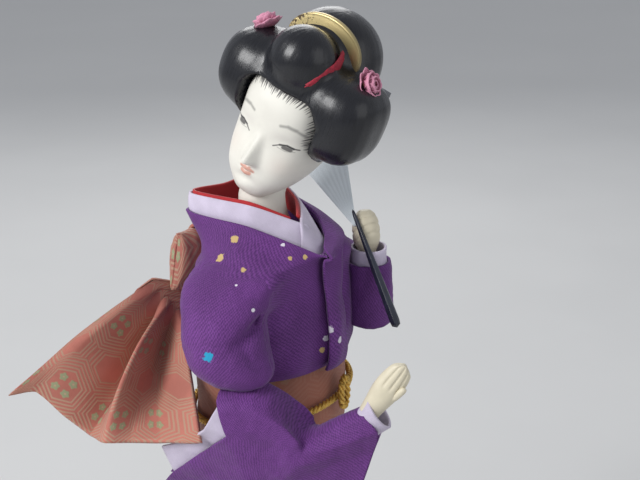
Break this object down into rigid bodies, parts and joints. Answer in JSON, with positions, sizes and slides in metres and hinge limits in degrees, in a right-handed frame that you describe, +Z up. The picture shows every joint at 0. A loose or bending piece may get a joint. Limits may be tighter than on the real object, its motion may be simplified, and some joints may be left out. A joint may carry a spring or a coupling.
{
  "type": "geisha doll",
  "caption": "Standing costume doll on a lacquered plinth: a head that turns and lifts off, moulded hair with pull-out ornaments, kimono, sash bow and a raised hand with a fan.",
  "frame": {"origin": "middle of the plinth's underside, on the flush head of the base screw", "axes": "+Z up, -Y the way the doll's body faces, +X to its left"},
  "size_m": [0.1614, 0.1399, 0.3765],
  "materials": {
    "lacquer": "black lacquer",
    "wood": "bare",
    "steel": "plain",
    "straw": "packed straw and paper",
    "wire": "paper-wrapped wire",
    "porcelain": "satin, painted features",
    "hand": "satin",
    "hair": "glossy black",
    "gilt": "gilt",
    "gold_cord": "twisted gold thread",
    "pink": "crumpled silk",
    "red": "plain weave",
    "white": "crepe",
    "purple": "crepe with gold and white flecks",
    "brocade": "woven hexagons in coral and green",
    "paper": "pleated"
  },
  "bodies": {
    "figure": {"base_plinth": "lacquer", "base_screw": "steel", "support_post": "wood", "skirt_former": "straw", "foot_right": "white", "foot_left": "white", "underskirt": "red", "kimono_skirt": "purple", "torso_form": "straw", "obi_band": "brocade", "obi_cord": "gold_cord", "obi_cord_knot": "gold_cord", "kimono_bodice": "purple", "kimono_lapel": "purple", "collar_white": "white", "collar_red": "red", "arm_wire_right": "wire", "arm_wire_left": "wire", "sleeve_right": "purple", "sleeve_left": "purple", "under_sleeve_right": "white", "under_sleeve_left": "white", "bow_upper_loop": "brocade", "bow_strap": "brocade", "bow_wing_right": "brocade", "bow_wing_left": "brocade"},
    "neck": {"neck_peg": "wood"},
    "head": {"head": "porcelain", "hair_cap": "hair", "hair_side_right": "hair", "hair_side_left": "hair", "hair_front_lock": "hair", "hair_topknot": "hair", "hair_ribbon": "red"},
    "comb": {"comb": "gilt"},
    "right_flower": {"flower_pin_right": "pink"},
    "left_flower": {"flower_pin_left": "pink"},
    "bar": {"hair_bar": "lacquer"},
    "right_hand": {"hand_right": "hand"},
    "left_hand": {"hand_left": "hand", "fan_handle": "lacquer", "fan_leaf": "paper"}
  },
  "joints": [
    {"name": "head_lift", "type": "slide", "parent": "figure", "child": "neck", "axis": [0, 0, 1], "range_m": [0, 0.036]},
    {"name": "head_turn", "type": "hinge", "parent": "neck", "child": "head", "pos_m": [0.0005, 0.0045, 0.296], "axis": [0, 0, 1], "range_deg": [-20, 20]},
    {"name": "comb_pull", "type": "slide", "parent": "head", "child": "comb", "axis": [0.1008, -0.3706, 0.9233], "range_m": [0, 0.012]},
    {"name": "right_flower_pull", "type": "slide", "parent": "head", "child": "right_flower", "axis": [-0.0644, 0.4888, 0.87], "range_m": [0, 0.016]},
    {"name": "left_flower_pull", "type": "slide", "parent": "head", "child": "left_flower", "axis": [0.1885, -0.9451, 0.2669], "range_m": [0, 0.016]},
    {"name": "bar_pull", "type": "slide", "parent": "head", "child": "bar", "axis": [0.1604, -0.9098, -0.3827], "range_m": [0, 0.03]},
    {"name": "right_hand_turn", "type": "hinge", "parent": "figure", "child": "right_hand", "pos_m": [-0.0182, -0.066, 0.254], "axis": [0.3404, -0.4205, 0.841], "range_deg": [-20, 20]},
    {"name": "left_hand_turn", "type": "hinge", "parent": "figure", "child": "left_hand", "pos_m": [0.0318, -0.0205, 0.286], "axis": [0.0785, 0.1766, 0.9811], "range_deg": [-8, 8]}
  ]
}
